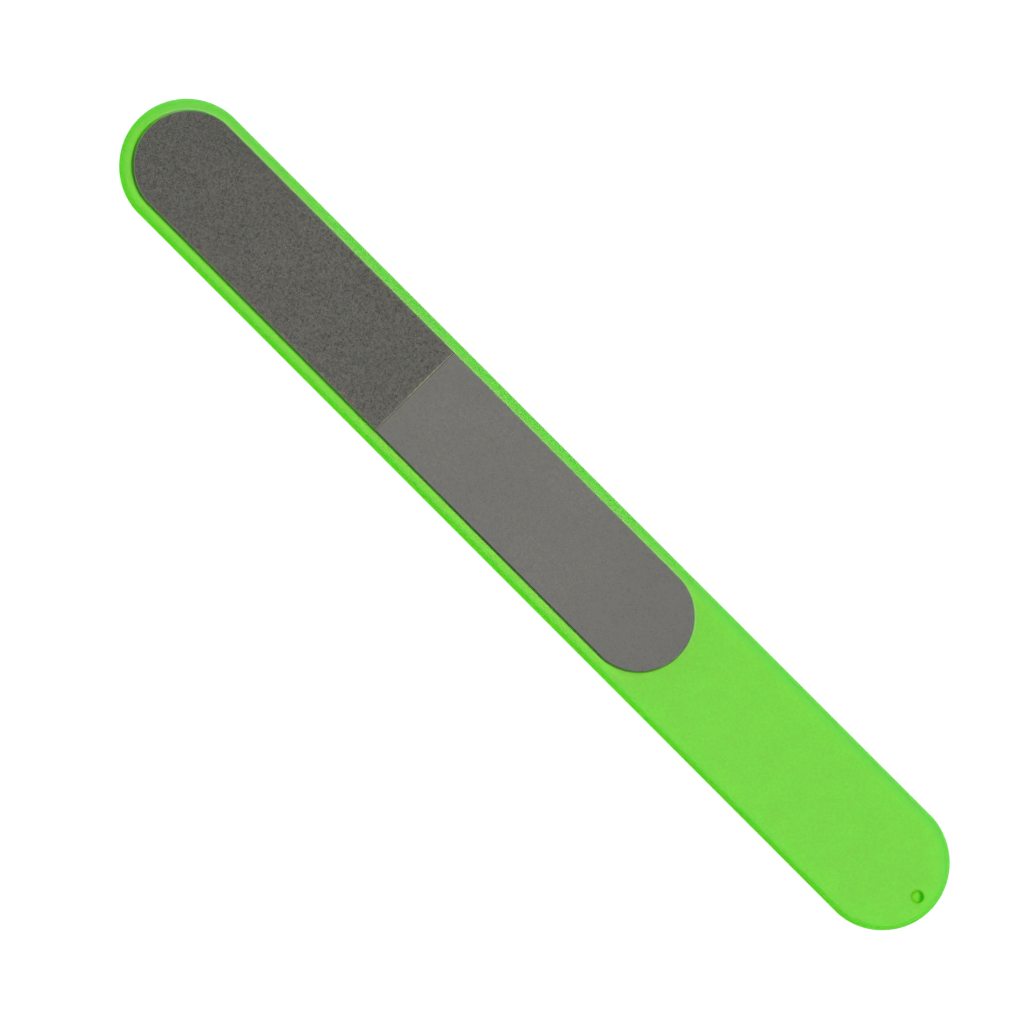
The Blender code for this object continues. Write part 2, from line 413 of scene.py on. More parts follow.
# Moulded ABS with a fine spark-eroded texture: an even satin lime that never mirrors. Light sinks
# in and spreads, green the farthest, so shaded edges glow a deeper green and don't turn grey.
LIME_FACE = "#76c024"
LIME_FACE_MOTTLED = "#6cb41d"
# Painted shade: the roundings and the upright sides are painted a deeper green.
LIME_EDGE = "#5ab412"
LIME_SIDE = "#58a812"
# Painted light on the narrow rim along the pocket.
LIME_BESIDE_POCKET = "#7fd624"
# Painted shadow of the coarse strip on the rim beside it.
LIME_BY_COARSE = "#60bc12"
# Painted light on the rim's open side beside the strips.
LIME_OPEN_SIDE = "#5ac814"
# Painted sheen on the rim's far side, and a painted highlight along the pocket's lip there.
LIME_FAR_SHEEN = "#68b048"
LIME_LIP_HIGHLIGHT = "#a0c286"
# Painted shade in the pocket's gap, near black along the fine strip.
LIME_GAP_SHADE = "#367010"
LIME_GAP_DEEP_SHADE = "#2a2030"
# Painted light and painted shadow on the two sides of the dimple.
LIME_BRIGHT_HOLE = "#7bbc1a"
LIME_DIMPLE_SHADOW = "#369c08"
LIME_ROUGHNESS = 0.5
ABS_IOR = 1.54
LIME_SPECULAR = 0.33
LIME_SUNK_SPECULAR = 0.09
LIME_SPREAD = 0.012
LIME_SPREAD_BY_COLOUR = (0.033, 1.0, 0.015)
# Spark erosion leaves pits of about 0.05 mm. They are drawn much wider, or they wouldn't show.
SPARK_PIT = 0.00035
SPARK_RELIEF = 0.00003
FLOW_CLOUD = 0.004
CLOUD_SHARE = 0.15
EDGE_TINT_MIDDLE = (0.0001, -0.0003)
COARSE_END_X = -0.0272
BY_COARSE_DULLNESS = 0.6
WITHIN_RIM = 0.0097
# What is sunk into the face before this is the pocket, and what is sunk past it the dimple.
HANDLE_FROM_X = 0.05
OPEN_SIDE_DIRECTION = (-0.045, -0.9, 0.0)
# The direction across the dimple towards its painted shadow.
SHADE_SLANT = 0.7
SHADE_DIRECTION = (SHADE_SLANT, SHADE_SLANT, 0.0)
SHADE_MIDDLE = SHADE_SLANT * DIMPLE_X + SHADE_SLANT * DIMPLE_Y

# Where each look sets in: the measure that it goes by, the measure's values where the look starts
# and ends, its share at both, and whether it eases in. "up" and "turned" are the surface's normal.
Mask = namedtuple("Mask", "by start end first last eased", defaults=(0.0, 1.0, False))
MASKS = {
    "mottled": Mask("speckle", 0.25, 0.75),
    # The face lies level. The upright sides are painted a deeper green as painted shade, and are
    # too rough for a sheen.
    "flat": Mask("up", 0.7, 0.99, eased=True),
    "steep": Mask("up", 0.85, 0.45, eased=True),
    "level": Mask("up", 0.3, 0.75, eased=True),
    # The tint deepens over the last 2 mm before the rim, where light gets out through the side, and
    # is partly painted shade for the light falling off over the rounding.
    "inner": Mask("from_middle", 0.0088, 0.0109, 1.0, 0.0, eased=True),
    # The narrow rim along the pocket lets out more light than the broad face at its ends, and is
    # painted lighter for it: painted light.
    "beside": Mask("from_pocket", 0.009, 0.011, 1.0, 0.0, eased=True),
    "on_rim": Mask("sideways", 0.0082, 0.0094, 0.25, 1.0),
    # The thick coarse strip keeps some light off the rim right beside it, at the open side: there
    # the rim is painted a darker, duller green as painted shadow.
    "near_pocket": Mask("from_pocket", 0.00935, 0.00905, eased=True),
    "open_side": Mask("openwards", 0.0, 0.004),
    # Light from the sheet gets into the rim at its open side; beside the strips that light is
    # painted on as a brighter green, painted light.
    "facing_open": Mask("turned", -0.2, -0.7, 0.0, 0.6, eased=True),
    "along_strips": Mask("x", 0.045, 0.03, 0.3, 1.0),
    # A pale painted sheen lies on the rounding at the rim's far side, and a painted highlight along
    # the pocket's lip there.
    "far_rim": Mask("y", -0.003, 0.006, 0.0, 0.7, eased=True),
    "at_lip": Mask("from_pocket", 0.00935, 0.00905),
    # Walls hide the lamps from what lies deeper than this below the face, so it shows no haze.
    "deep": Mask("z", BLADE_THICKNESS - 0.00003, BLADE_THICKNESS - 0.0003, eased=True),
    # The pocket's gap is painted darker as painted shade, most along the open side and least at the
    # handle. Along the fine strip it is painted near black, up to where the pocket turns.
    "dust": Mask("openwards", 0.0, 0.009),
    "packing": Mask("x", -0.0125, -0.006),
    "unpacking": Mask("x", 0.026, 0.0235),
    # One side of the dimple is painted darker and duller, a painted shadow. The other side is
    # painted brighter, painted light.
    "far_side": Mask("shadewards", SHADE_MIDDLE - 0.0006, SHADE_MIDDLE + 0.0006),
    "grime": Mask("shadewards", SHADE_MIDDLE + 0.0002, SHADE_MIDDLE + 0.0007),
    "near_side": Mask("shadewards", SHADE_MIDDLE + 0.0004, SHADE_MIDDLE - 0.0002),
}
# What is worked out from them: a name, an operation and the terms that it joins in order.
SUMS = (
    ("outer", "SUBTRACT", 1.0, "inner"),
    ("plain", "MINIMUM", "flat", "inner"),
    ("rim_beside", "MULTIPLY", "beside", "on_rim"),
    ("bloom", "MULTIPLY", "outer", "level", "far_rim"),
    ("lip_dust", "MULTIPLY", "at_lip", "far_rim"),
    ("at_coarse", "LESS_THAN", "x", COARSE_END_X),
    ("by_coarse", "MULTIPLY", "near_pocket", "at_coarse", "open_side"),
    ("opened", "MULTIPLY", "facing_open", "outer", "along_strips"),
    ("upper", "GREATER_THAN", "z", BLADE_THICKNESS / 2),
    ("within", "LESS_THAN", "from_middle", WITHIN_RIM),
    ("sunk", "MULTIPLY", "deep", "upper", "within"),
    ("dusty", "MULTIPLY", "sunk", "dust"),
    ("packed", "MULTIPLY", "packing", "unpacking"),
    ("at_handle", "GREATER_THAN", "x", HANDLE_FROM_X),
    ("hole", "MULTIPLY", "sunk", "at_handle"),
    ("bright", "MULTIPLY", "hole", "near_side"),
    ("grimy", "MULTIPLY", "hole", "grime"),
    ("at_strips", "LESS_THAN", "x", HANDLE_FROM_X),
    ("unlit", "MAXIMUM", "at_strips", "far_side"),
    ("dull_hollow", "MULTIPLY", "sunk", "unlit"),
    ("dull_rim", "MULTIPLY", "by_coarse", BY_COARSE_DULLNESS),
    ("dull", "MAXIMUM", "dull_hollow", "dull_rim"),
)
# The colours, each laid over another by a share: a name, the share, what is under and what is over.
TINTS = (
    ("face", "mottled", LIME_FACE, LIME_FACE_MOTTLED),
    ("lit_face", "rim_beside", "face", LIME_BESIDE_POCKET),
    ("edge", "steep", LIME_EDGE, LIME_SIDE),
    ("tinted", "plain", "edge", "lit_face"),
    ("rim_sheened", "bloom", "tinted", LIME_FAR_SHEEN),
    ("lip_highlighted", "lip_dust", "rim_sheened", LIME_LIP_HIGHLIGHT),
    ("shaded", "by_coarse", "lip_highlighted", LIME_BY_COARSE),
    ("open_lit", "opened", "shaded", LIME_OPEN_SIDE),
    ("gap_colour", "packed", LIME_GAP_SHADE, LIME_GAP_DEEP_SHADE),
    ("gap_shaded", "dusty", "open_lit", "gap_colour"),
    ("brightened", "bright", "gap_shaded", LIME_BRIGHT_HOLE),
    ("whole", "grimy", "brightened", LIME_DIMPLE_SHADOW),
)


def off_line(tree, spot, middle, half_length):
    """How far a point lies, seen from above, from a lengthways line with this middle."""
    shifted = add(tree, MATH, (spot["X"], middle[0]), operation="SUBTRACT")
    lengthways = add(tree, MATH, (shifted,), operation="ABSOLUTE")
    past = add(tree, MATH, (lengthways, half_length), operation="SUBTRACT")
    beyond = add(tree, MATH, (past, 0.0), operation="MAXIMUM")
    aside = add(tree, MATH, (spot["Y"], middle[1]), operation="SUBTRACT")
    offset = add(tree, "ShaderNodeCombineXYZ", (beyond, aside))
    return add(tree, "ShaderNodeVectorMath", (offset,), operation="LENGTH")


def moulded_lime_abs():
    """The blade's plastic, from its tables of masks, sums and tints."""
    material, tree = new_material("moulded_lime_abs")
    place = add(tree, "ShaderNodeTexCoord").outputs
    looks = (
        {"Scale": 1 / SPARK_PIT, "Detail": 2.0, "Roughness": 0.6},
        {"Scale": 1 / FLOW_CLOUD, "Detail": 3.0, "Roughness": 0.5},
    )
    pits, clouds = [
        add(tree, "ShaderNodeTexNoise", look | {"Vector": place["Object"]}) for look in looks
    ]
    cloudy = add(tree, RANGE, {"Value": clouds, "To Min": -CLOUD_SHARE, "To Max": CLOUD_SHARE})
    spot = add(tree, "ShaderNodeSeparateXYZ", (place["Object"],)).outputs
    facing = add(tree, "ShaderNodeSeparateXYZ", (place["Normal"],)).outputs
    pocket_middle = (POCKET_TIP_X + POCKET_LENGTH / 2, 0.0)
    values = {
        **{"x": spot["X"], "y": spot["Y"], "z": spot["Z"], "up": facing["Z"]},
        "turned": facing["Y"],
        "speckle": add(tree, MATH, (pits, cloudy), operation="ADD"),
        "sideways": add(tree, MATH, (spot["Y"],), operation="ABSOLUTE"),
        "from_middle": off_line(tree, spot, EDGE_TINT_MIDDLE, (BLADE_LENGTH - BLADE_WIDTH) / 2),
        "from_pocket": off_line(tree, spot, pocket_middle, (POCKET_LENGTH - POCKET_WIDTH) / 2),
    }
    for label, way in (("openwards", OPEN_SIDE_DIRECTION), ("shadewards", SHADE_DIRECTION)):
        values[label] = add(
            tree, "ShaderNodeVectorMath", (place["Object"], way), operation="DOT_PRODUCT"
        )
    for label, mask in MASKS.items():
        values[label] = add(
            tree, RANGE,
            {
                "Value": values[mask.by],
                "From Min": mask.start,
                "From Max": mask.end,
                "To Min": mask.first,
                "To Max": mask.last,
            },
            interpolation_type="SMOOTHSTEP" if mask.eased else "LINEAR",
        )
    for label, operation, first, *others in SUMS:
        result = values.get(first, first)
        for other in others:
            terms = (result, values.get(other, other))
            result = add(tree, MATH, terms, operation=operation)
        values[label] = result
    colours = {}
    for label, share, *pair in TINTS:
        under, over = [colours[name] if name in colours else linear(name) for name in pair]
        colours[label] = add(
            tree, "ShaderNodeMix",
            {"Factor": values[share], "A": under, "B": over}, data_type="RGBA",
        )
    gloss = add(
        tree, RANGE,
        {"Value": values["dull"], "To Min": LIME_SPECULAR, "To Max": LIME_SUNK_SPECULAR},
    )
    shader = add(
        tree, "ShaderNodeBsdfPrincipled",
        {
            "Base Color": colours["whole"],
            "Roughness": LIME_ROUGHNESS,
            "IOR": ABS_IOR,
            "Specular IOR Level": add(
                tree, MATH, (gloss, values["level"]), operation="MULTIPLY"
            ),
            "Subsurface Weight": 1.0,
            "Subsurface Radius": LIME_SPREAD_BY_COLOUR,
            "Subsurface Scale": LIME_SPREAD,
            "Normal": add(tree, "ShaderNodeBump", {"Height": pits, "Distance": SPARK_RELIEF}),
        },
    )
    add(tree, "ShaderNodeOutputMaterial", {"Surface": shader})
    return material


blade = grown("lime_blade", moulded_blade(), BLADE_SIZES | {"Finish": moulded_lime_abs()})
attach(blade, "root")
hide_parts("handle_blade")

# The adhesive films: a clear sheet of acrylic glue under each strip, die-cut together with it. They
# lie on the pocket's floor and show only as a thin pale line at the open side of the pocket.

ROUND_END_RISES = {"coarse": 0.00805, "fine": 0.00825}
STRIP_END_POINTS = 97
# How far a layer ends inside its strip's outline: at the open side, at the side that leans on the
# pocket's wall, at the round end and at the seam. Below zero it reaches past it.
SHEET_INSETS = {
    "coarse": (0.00008, -0.00001, -0.00012, -0.00014),
    "fine": (0.0, -0.00001, 0.0, 0.00005),
}
# The knife pulled the coat off the paper along the seam, most of it a little above the middle.
TEAR_WIDTH = 0.0009
TEAR_MIDDLE_Y = 0.0029
TEAR_REACH = 0.007
# The rounding of a cut edge: its radius and its count of facets.
FILM_EDGE = (0.00002, 3)


def die_cut_sheet():
    """A flat sheet cut to a board's outline, with its cut edges slightly rounded."""
    heights = ("Underside", "Top")
    inputs = OUTLINE_SIZES | dict.fromkeys((*heights, "Edge Radius"), FLOAT)
    inputs |= {"Edge Facets": COUNT, "Finish": FINISH}
    tree, given = new_tree("die-cut sheet", inputs, "Mesh")
    sizes = {label: given[label] for label in OUTLINE_SIZES}
    walls = add(
        tree, GROUP,
        {
            "Outline": add(tree, GROUP, sizes, node_tree=OUTLINE),
            "Start Side": INSIDE,
            "Start Height": given["Underside"],
            "Start Radius": given["Edge Radius"],
            "End Side": INSIDE,
            "End Height": given["Top"],
            "End Radius": given["Edge Radius"],
            "Facets": given["Edge Facets"],
        },
        node_tree=STEP,
    )
    close_up(tree, walls, [given[height] for height in heights], given["Finish"])
    return tree


SHEET = die_cut_sheet()


def strip_outline(grade, insets, tear_depth):
    """Outline sizes of a layer of the coarse or the fine strip, drawn in by its four insets."""
    low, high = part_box(f"{grade}_backing_paper")
    open_side, leaning_side, round_end, seam = insets
    low_end, high_end = (round_end, ROUND_END_RISES[grade] - round_end), (seam, 0.0)
    if grade == "fine":
        low_end, high_end = high_end, low_end
    return {
        "Low End": low.x + low_end[0],
        "Low Rise": low_end[1],
        "High End": high.x - high_end[0],
        "High Rise": high_end[1],
        "Low Side": low.y + open_side,
        "High Side": high.y - leaning_side,
        "End Points": STRIP_END_POINTS,
        "Tear Depth": tear_depth,
        "Tear Width": TEAR_WIDTH,
        "Tear Middle": TEAR_MIDDLE_Y,
        "Tear Reach": TEAR_REACH,
    }


def cut_sheet(name, grade, layer, edge, finish, insets, thickness=None, tear_depth=0.0):
    """A die-cut sheet in the place of one layer's node."""
    low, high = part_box(f"{grade}_{layer}")
    sizes = strip_outline(grade, insets, tear_depth) | {
        "Underside": low.z,
        "Top": low.z + thickness if thickness else high.z,
        "Edge Radius": edge[0],
        "Edge Facets": edge[1],
        "Finish": finish,
    }
    return grown(name, SHEET, sizes)


# Acrylic pressure-sensitive glue: clear, a little milky, smooth, with the coater's faint streaks.
GLUE_CLEAR = "#d9d6c8"
GLUE_MILKY = "#c4bfac"
GLUE_STREAK_WIDTH = 0.0012
GLUE_STREAK_LENGTH = 0.008
GLUE_SMOOTHEST, GLUE_ROUGHEST = 0.25, 0.4
GLUE_CLEARNESS = 0.3
ACRYLIC_IOR = 1.47


def streaked(tree, width, length, look):
    """A noise drawn out along the strip."""
    place = add(tree, "ShaderNodeTexCoord").outputs["Object"]
    lengthways = (width / length, 1.0, 1.0)
    drawn = add(tree, "ShaderNodeMapping", {"Vector": place, "Scale": lengthways})
    return add(tree, "ShaderNodeTexNoise", look | {"Vector": drawn, "Scale": 1 / width})


def clear_acrylic_adhesive():
    """Glue that is clearer and milkier in streaks."""
    material, tree = new_material("clear_acrylic_adhesive")
    streaks = streaked(tree, GLUE_STREAK_WIDTH, GLUE_STREAK_LENGTH, {"Detail": 2.0})
    colour = add(
        tree, "ShaderNodeMix",
        {"Factor": streaks, "A": linear(GLUE_CLEAR), "B": linear(GLUE_MILKY)}, data_type="RGBA",
    )
    gloss = add(tree, RANGE, {"Value": streaks, "To Min": GLUE_SMOOTHEST, "To Max": GLUE_ROUGHEST})
    shader = add(
        tree, "ShaderNodeBsdfPrincipled",
        {
            "Base Color": colour,
            "Roughness": gloss,
            "IOR": ACRYLIC_IOR,
            "Transmission Weight": GLUE_CLEARNESS,
        },
    )
    add(tree, "ShaderNodeOutputMaterial", {"Surface": shader})
    return material


glue_finish = clear_acrylic_adhesive()
for grade, insets in SHEET_INSETS.items():
    film = cut_sheet(f"{grade}_glue_film", grade, "adhesive_film", FILM_EDGE, glue_finish, insets)
    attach(film, "root")
    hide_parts(f"{grade}_adhesive_film")

# The backing papers: buff kraft under the coarse grains and a dark latex-filled paper under the
# fine ones, each cut with its coat and glue. The buff one shows as a thin light line at the seam.

PAPER_EDGE = (0.00003, 4)
# Paper fibres are about 0.03 mm thick and 1 to 3 mm long, and lie mostly along the strip.
FIBRE_LENGTH = 0.0015
FIBRE_THICKNESS = 0.00005
FIBRE_RELIEF = 0.00001
PULP_AT, FIBRE_AT = 0.35, 0.65
PAPER_ROUGHNESS = 0.9
PAPER_SPECULAR = 0.3
CELLULOSE_IOR = 1.47
# The name, pulp colour, fibre colour and slot of each. Unbleached kraft is straw-coloured, and the
# latex-filled paper is dyed near black, so that the grey coat looks even over it.
PAPERS = {
    "coarse": ("buff_kraft_paper", "#8e8772", "#a39c85", "buff_paper"),
    "fine": ("dark_latex_paper", "#34363c", "#42444a", "dark_paper"),
}


def fibrous_paper(name, pulp, fibre):
    """Machine-made paper: a dead matt sheet streaked with fibres that lie along the strip."""
    material, tree = new_material(name)
    fibres = streaked(tree, FIBRE_THICKNESS, FIBRE_LENGTH, {"Detail": 3.0, "Distortion": 0.4})
    share = add(tree, RANGE, {"Value": fibres, "From Min": PULP_AT, "From Max": FIBRE_AT})
    colour = add(
        tree, "ShaderNodeMix",
        {"Factor": share, "A": linear(pulp), "B": linear(fibre)}, data_type="RGBA",
    )
    shader = add(
        tree, "ShaderNodeBsdfPrincipled",
        {
            "Base Color": colour,
            "Roughness": PAPER_ROUGHNESS,
            "IOR": CELLULOSE_IOR,
            "Specular IOR Level": PAPER_SPECULAR,
            "Normal": add(tree, "ShaderNodeBump", {"Height": fibres, "Distance": FIBRE_RELIEF}),
        },
    )
    add(tree, "ShaderNodeOutputMaterial", {"Surface": shader})
    return material


for grade, (name, pulp, fibre, slot) in PAPERS.items():
    finish = fibrous_paper(name, pulp, fibre)
    paper = cut_sheet(name, grade, "backing_paper", PAPER_EDGE, finish, SHEET_INSETS[grade])
    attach(paper, "root")
    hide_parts(f"{grade}_backing_paper")

# The resin coats: grey filled phenolic resin rolled over each paper, which holds the grains by
# their feet. They end a hair inside the cut edges, and the coarse one is torn back at the seam.

COAT_EDGE = (0.00005, 4)
PHENOLIC_IOR = 1.6
PHENOLIC_SPECULAR = 0.3
RESIN_SMOOTHEST, RESIN_ROUGHEST = 0.55, 0.75
# Nearly all of a noise's values lie between these two.
NOISE_LOW, NOISE_HIGH = 0.3, 0.7
COATS = {
    "coarse": {
        "thickness": 0.00016,
        "insets": (0.00015, 0.0, -0.00005, -0.00007),
        "tear_depth": 0.00027,
        "light": "#686761",
        "dark": "#42423c",
        "wave": 0.0004,
        "wave_height": 0.00006,
    },
    "fine": {
        "thickness": 0.00014,
        "insets": (0.00003, 0.0, 0.00003, 0.0001),
        "tear_depth": 0.0,
        "light": "#6b6a64",
        "dark": "#646460",
        "wave": 0.0002,
        "wave_height": 0.00002,
    },
}


def filled_phenolic_resin(name, coat):
    """Cured resin full of mineral dust: a hard, matt coat with low waves between the grains."""
    material, tree = new_material(name)
    place = add(tree, "ShaderNodeTexCoord").outputs["Object"]
    waves = add(
        tree, "ShaderNodeTexNoise",
        {"Vector": place, "Scale": 1 / coat["wave"], "Detail": 4.0, "Roughness": 0.6},
    )
    share = add(tree, RANGE, {"Value": waves, "From Min": NOISE_LOW, "From Max": NOISE_HIGH})
    colour = add(
        tree, "ShaderNodeMix",
        {"Factor": share, "A": linear(coat["dark"]), "B": linear(coat["light"])}, data_type="RGBA",
    )
    gloss = add(tree, RANGE, {"Value": waves, "To Min": RESIN_SMOOTHEST, "To Max": RESIN_ROUGHEST})
    relief = add(tree, "ShaderNodeBump", {"Height": waves, "Distance": coat["wave_height"]})
    shader = add(
        tree, "ShaderNodeBsdfPrincipled",
        {
            "Base Color": colour,
            "Roughness": gloss,
            "IOR": PHENOLIC_IOR,
            "Specular IOR Level": PHENOLIC_SPECULAR,
            "Normal": relief,
        },
    )
    add(tree, "ShaderNodeOutputMaterial", {"Surface": shader})
    return material


coat_tops = {}
for grade, coat in COATS.items():
    piece = cut_sheet(
        f"{grade}_resin_coat",
        grade,
        "grit_layer",
        COAT_EDGE,
        filled_phenolic_resin(f"{grade}_phenolic_resin", coat),
        coat["insets"],
        coat["thickness"],
        coat["tear_depth"],
    )
    coat_tops[grade] = max(corner[2] for corner in piece.bound_box)
    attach(piece, "root")
    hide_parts(f"{grade}_grit_layer")

# The grains: crushed silicon carbide, sieved to one size for each strip and shaken onto the wet
# resin with its points up. Every grain is a splinter with its own size, turn and grey.

# Real 100 grit is about 0.15 mm across and real 240 grit 0.06 mm. Both are drawn larger, because
# the real ones are too many and too small to show one by one.
GRITS = {
    "coarse": {
        "sizes": {
            "Spacing": 0.00023, "Grain Size": 0.00026, "Relief": 0.9, "Wear Width": 0.00025
        },
        "setback": 0.0001,
        "foot_rise": 0.00001,
        "greys": ("#2f2f29", "#474740", "#64635a", "#737267"),
        "odd": ("#7a6552", "#566072"),
        "rubbed": "#8a8474",
    },
    "fine": {
        "sizes": {
            "Spacing": 0.00019, "Grain Size": 0.0002, "Relief": 0.4, "Wear Width": 0.0003
        },
        "setback": 0.00008,
        "foot_rise": -0.00001,
        "greys": ("#4f4f4b", "#60605b", "#71706a", "#7e7b72"),
        "odd": ("#78706a", "#6c7076"),
        "rubbed": "#8a8883",
    },
}
SMALLEST_SHARE = 0.6
GRAIN_DISTORTION = 0.16
CANDIDATES_PER_GRAIN = 6.0
SCATTER_SEED, TONE_SEED, SORT_SEED, TURN_SEED, SIZE_SEED = 3, 11, 12, 13, 14
FULL_TURN = 2 * math.pi
TONE, WEAR, BAKE_MAP = "grain_tone", "edge_wear", "OFBake"
# The three habits of crushed grains, at a size of one: blocks, sharp bipyramids and blunt ones.
BLOCKS = ((0.8, 0.65, 0.5), (0.6, 0.6, 0.7))
BIPYRAMIDS = ((4, 0.55), (5, 0.5), (4, 0.5), (5, 0.55))


def grain_field():
    """Splinters shaken at a least spacing over a strip's outline, none above a greatest height."""
    lengths = (*GRITS["fine"]["sizes"], "Smallest Share", "Foot Height", "Top")
    inputs = OUTLINE_SIZES | dict.fromkeys(lengths, FLOAT)
    inputs |= {"Map Start": PLACE, "Map Span": PLACE, "Seed": COUNT, "Finish": FINISH}
    tree, given = new_tree("grain field", inputs, "Mesh")
    sizes = {label: given[label] for label in OUTLINE_SIZES}
    outline = add(tree, GROUP, sizes, node_tree=OUTLINE)
    bed = add(tree, "GeometryNodeFillCurve", {"Curve": outline}, mode="TRIANGLES")
    cell = add(tree, MATH, (given["Spacing"], 2.0), operation="POWER")
    crowd = add(tree, MATH, (CANDIDATES_PER_GRAIN, cell), operation="DIVIDE")
    points = add(
        tree, "GeometryNodeDistributePointsOnFaces",
        {
            "Mesh": bed,
            "Distance Min": given["Spacing"],
            "Density Max": crowd,
            "Seed": given["Seed"],
        },
        distribute_method="POISSON",
    )
    rim = add(tree, "GeometryNodeCurveToMesh", {"Curve": outline})
    to_rim = add(tree, "GeometryNodeProximity", {"Geometry": rim}, target_element="EDGES")
    wear = add(
        tree, RANGE,
        {
            "Value": to_rim.outputs["Distance"],
            "From Max": given["Wear Width"],
            "To Min": 1.0,
            "To Max": 0.0,
        },
    )
    tone = add(tree, "FunctionNodeRandomValue", {"Seed": TONE_SEED}, data_type="FLOAT")
    for label, value in ((TONE, tone), (WEAR, wear)):
        points = add(
            tree, "GeometryNodeStoreNamedAttribute",
            {"Geometry": points, "Name": label, "Value": value}, data_type="FLOAT", domain="POINT",
        )
    blocks = [add(tree, "GeometryNodeMeshCube", {"Size": size}) for size in BLOCKS]
    pyramids = [
        add(tree, "GeometryNodeMeshUVSphere", {"Segments": sides, "Rings": 2, "Radius": radius})
        for sides, radius in BIPYRAMIDS
    ]
    splinters = []
    for number, shape in enumerate(blocks + pyramids):
        knock = add(
            tree, "FunctionNodeRandomValue",
            {"Min": (-GRAIN_DISTORTION,) * 3, "Max": (GRAIN_DISTORTION,) * 3, "Seed": number},
            data_type="FLOAT_VECTOR",
        )
        splinter = add(tree, "GeometryNodeSetPosition", {"Geometry": shape, "Offset": knock})
        splinters.append(add(tree, "GeometryNodeGeometryToInstance", {"Geometry": splinter}))
    sort, turn, share = [
        add(tree, "FunctionNodeRandomValue", ends | {"Seed": seed}, data_type=kind)
        for kind, seed, ends in (
            ("INT", SORT_SEED, {"Min": 0, "Max": len(splinters) - 1}),
            ("FLOAT_VECTOR", TURN_SEED, {"Max": (FULL_TURN,) * 3}),
            ("FLOAT", SIZE_SEED, {"Min": given["Smallest Share"], "Max": 1.0}),
        )
    ]
    grains = add(
        tree, "GeometryNodeInstanceOnPoints",
        {
            "Points": points,
            "Instance": add(tree, "GeometryNodeJoinGeometry", {"Geometry": splinters}),
            "Pick Instance": True,
            "Instance Index": sort,
            "Rotation": turn,
            "Scale": add(tree, MATH, (share, given["Grain Size"]), operation="MULTIPLY"),
        },
    )
    real = add(tree, "GeometryNodeRealizeInstances", {"Geometry": grains})
    position = add(tree, "GeometryNodeInputPosition")
    place = add(tree, "ShaderNodeSeparateXYZ", (position,)).outputs
    squashed = add(tree, MATH, (place["Z"], given["Relief"]), operation="MULTIPLY")
    lifted = add(tree, MATH, (squashed, given["Foot Height"]), operation="ADD")
    level = add(tree, MATH, (lifted, given["Top"]), operation="MINIMUM")
    raised = add(tree, "ShaderNodeCombineXYZ", (place["X"], place["Y"], level))
    bedded = add(tree, "GeometryNodeSetPosition", {"Geometry": real, "Position": raised})
    # The bake map looks straight down, stretched until the strip fills the square.
    off = add(tree, "ShaderNodeVectorMath", (position, given["Map Start"]), operation="SUBTRACT")
    mapped = add(tree, "ShaderNodeVectorMath", (off, given["Map Span"]), operation="DIVIDE")
    charted = add(
        tree, "GeometryNodeStoreNamedAttribute",
        {"Geometry": bedded, "Name": BAKE_MAP, "Value": mapped}, data_type="FLOAT2",
        domain="CORNER",
    )
    finished = add(
        tree, "GeometryNodeSetMaterial", {"Geometry": charted, "Material": given["Finish"]}
    )
    add(tree, "NodeGroupOutput", {"Mesh": finished})
    return tree


GRAINS = grain_field()

# Silicon carbide: glassy dark grey splinters dulled by the resin's dust, a few of them brown or
# blue. Loose clumps give the strip its mottle, and the grains at the cut edges are rubbed pale.
CARBIDE_IOR = 1.8
CARBIDE_SPECULAR = 0.2
CARBIDE_ROUGHNESS = 0.6
CLUMP = 0.00055
CLUMP_SHIFT = 0.65
ODD_TONES = (0.9, 0.95)
# Use has greyed the strips unevenly and left their ends dirtier than their middles.
DRIFT = 0.008
DRIFT_SHARE = 0.2
SEAM_X = -0.0273
DIRTY_FROM, DIRTY_TO = 0.034, 0.054
DIRTY_SHARE = 0.6


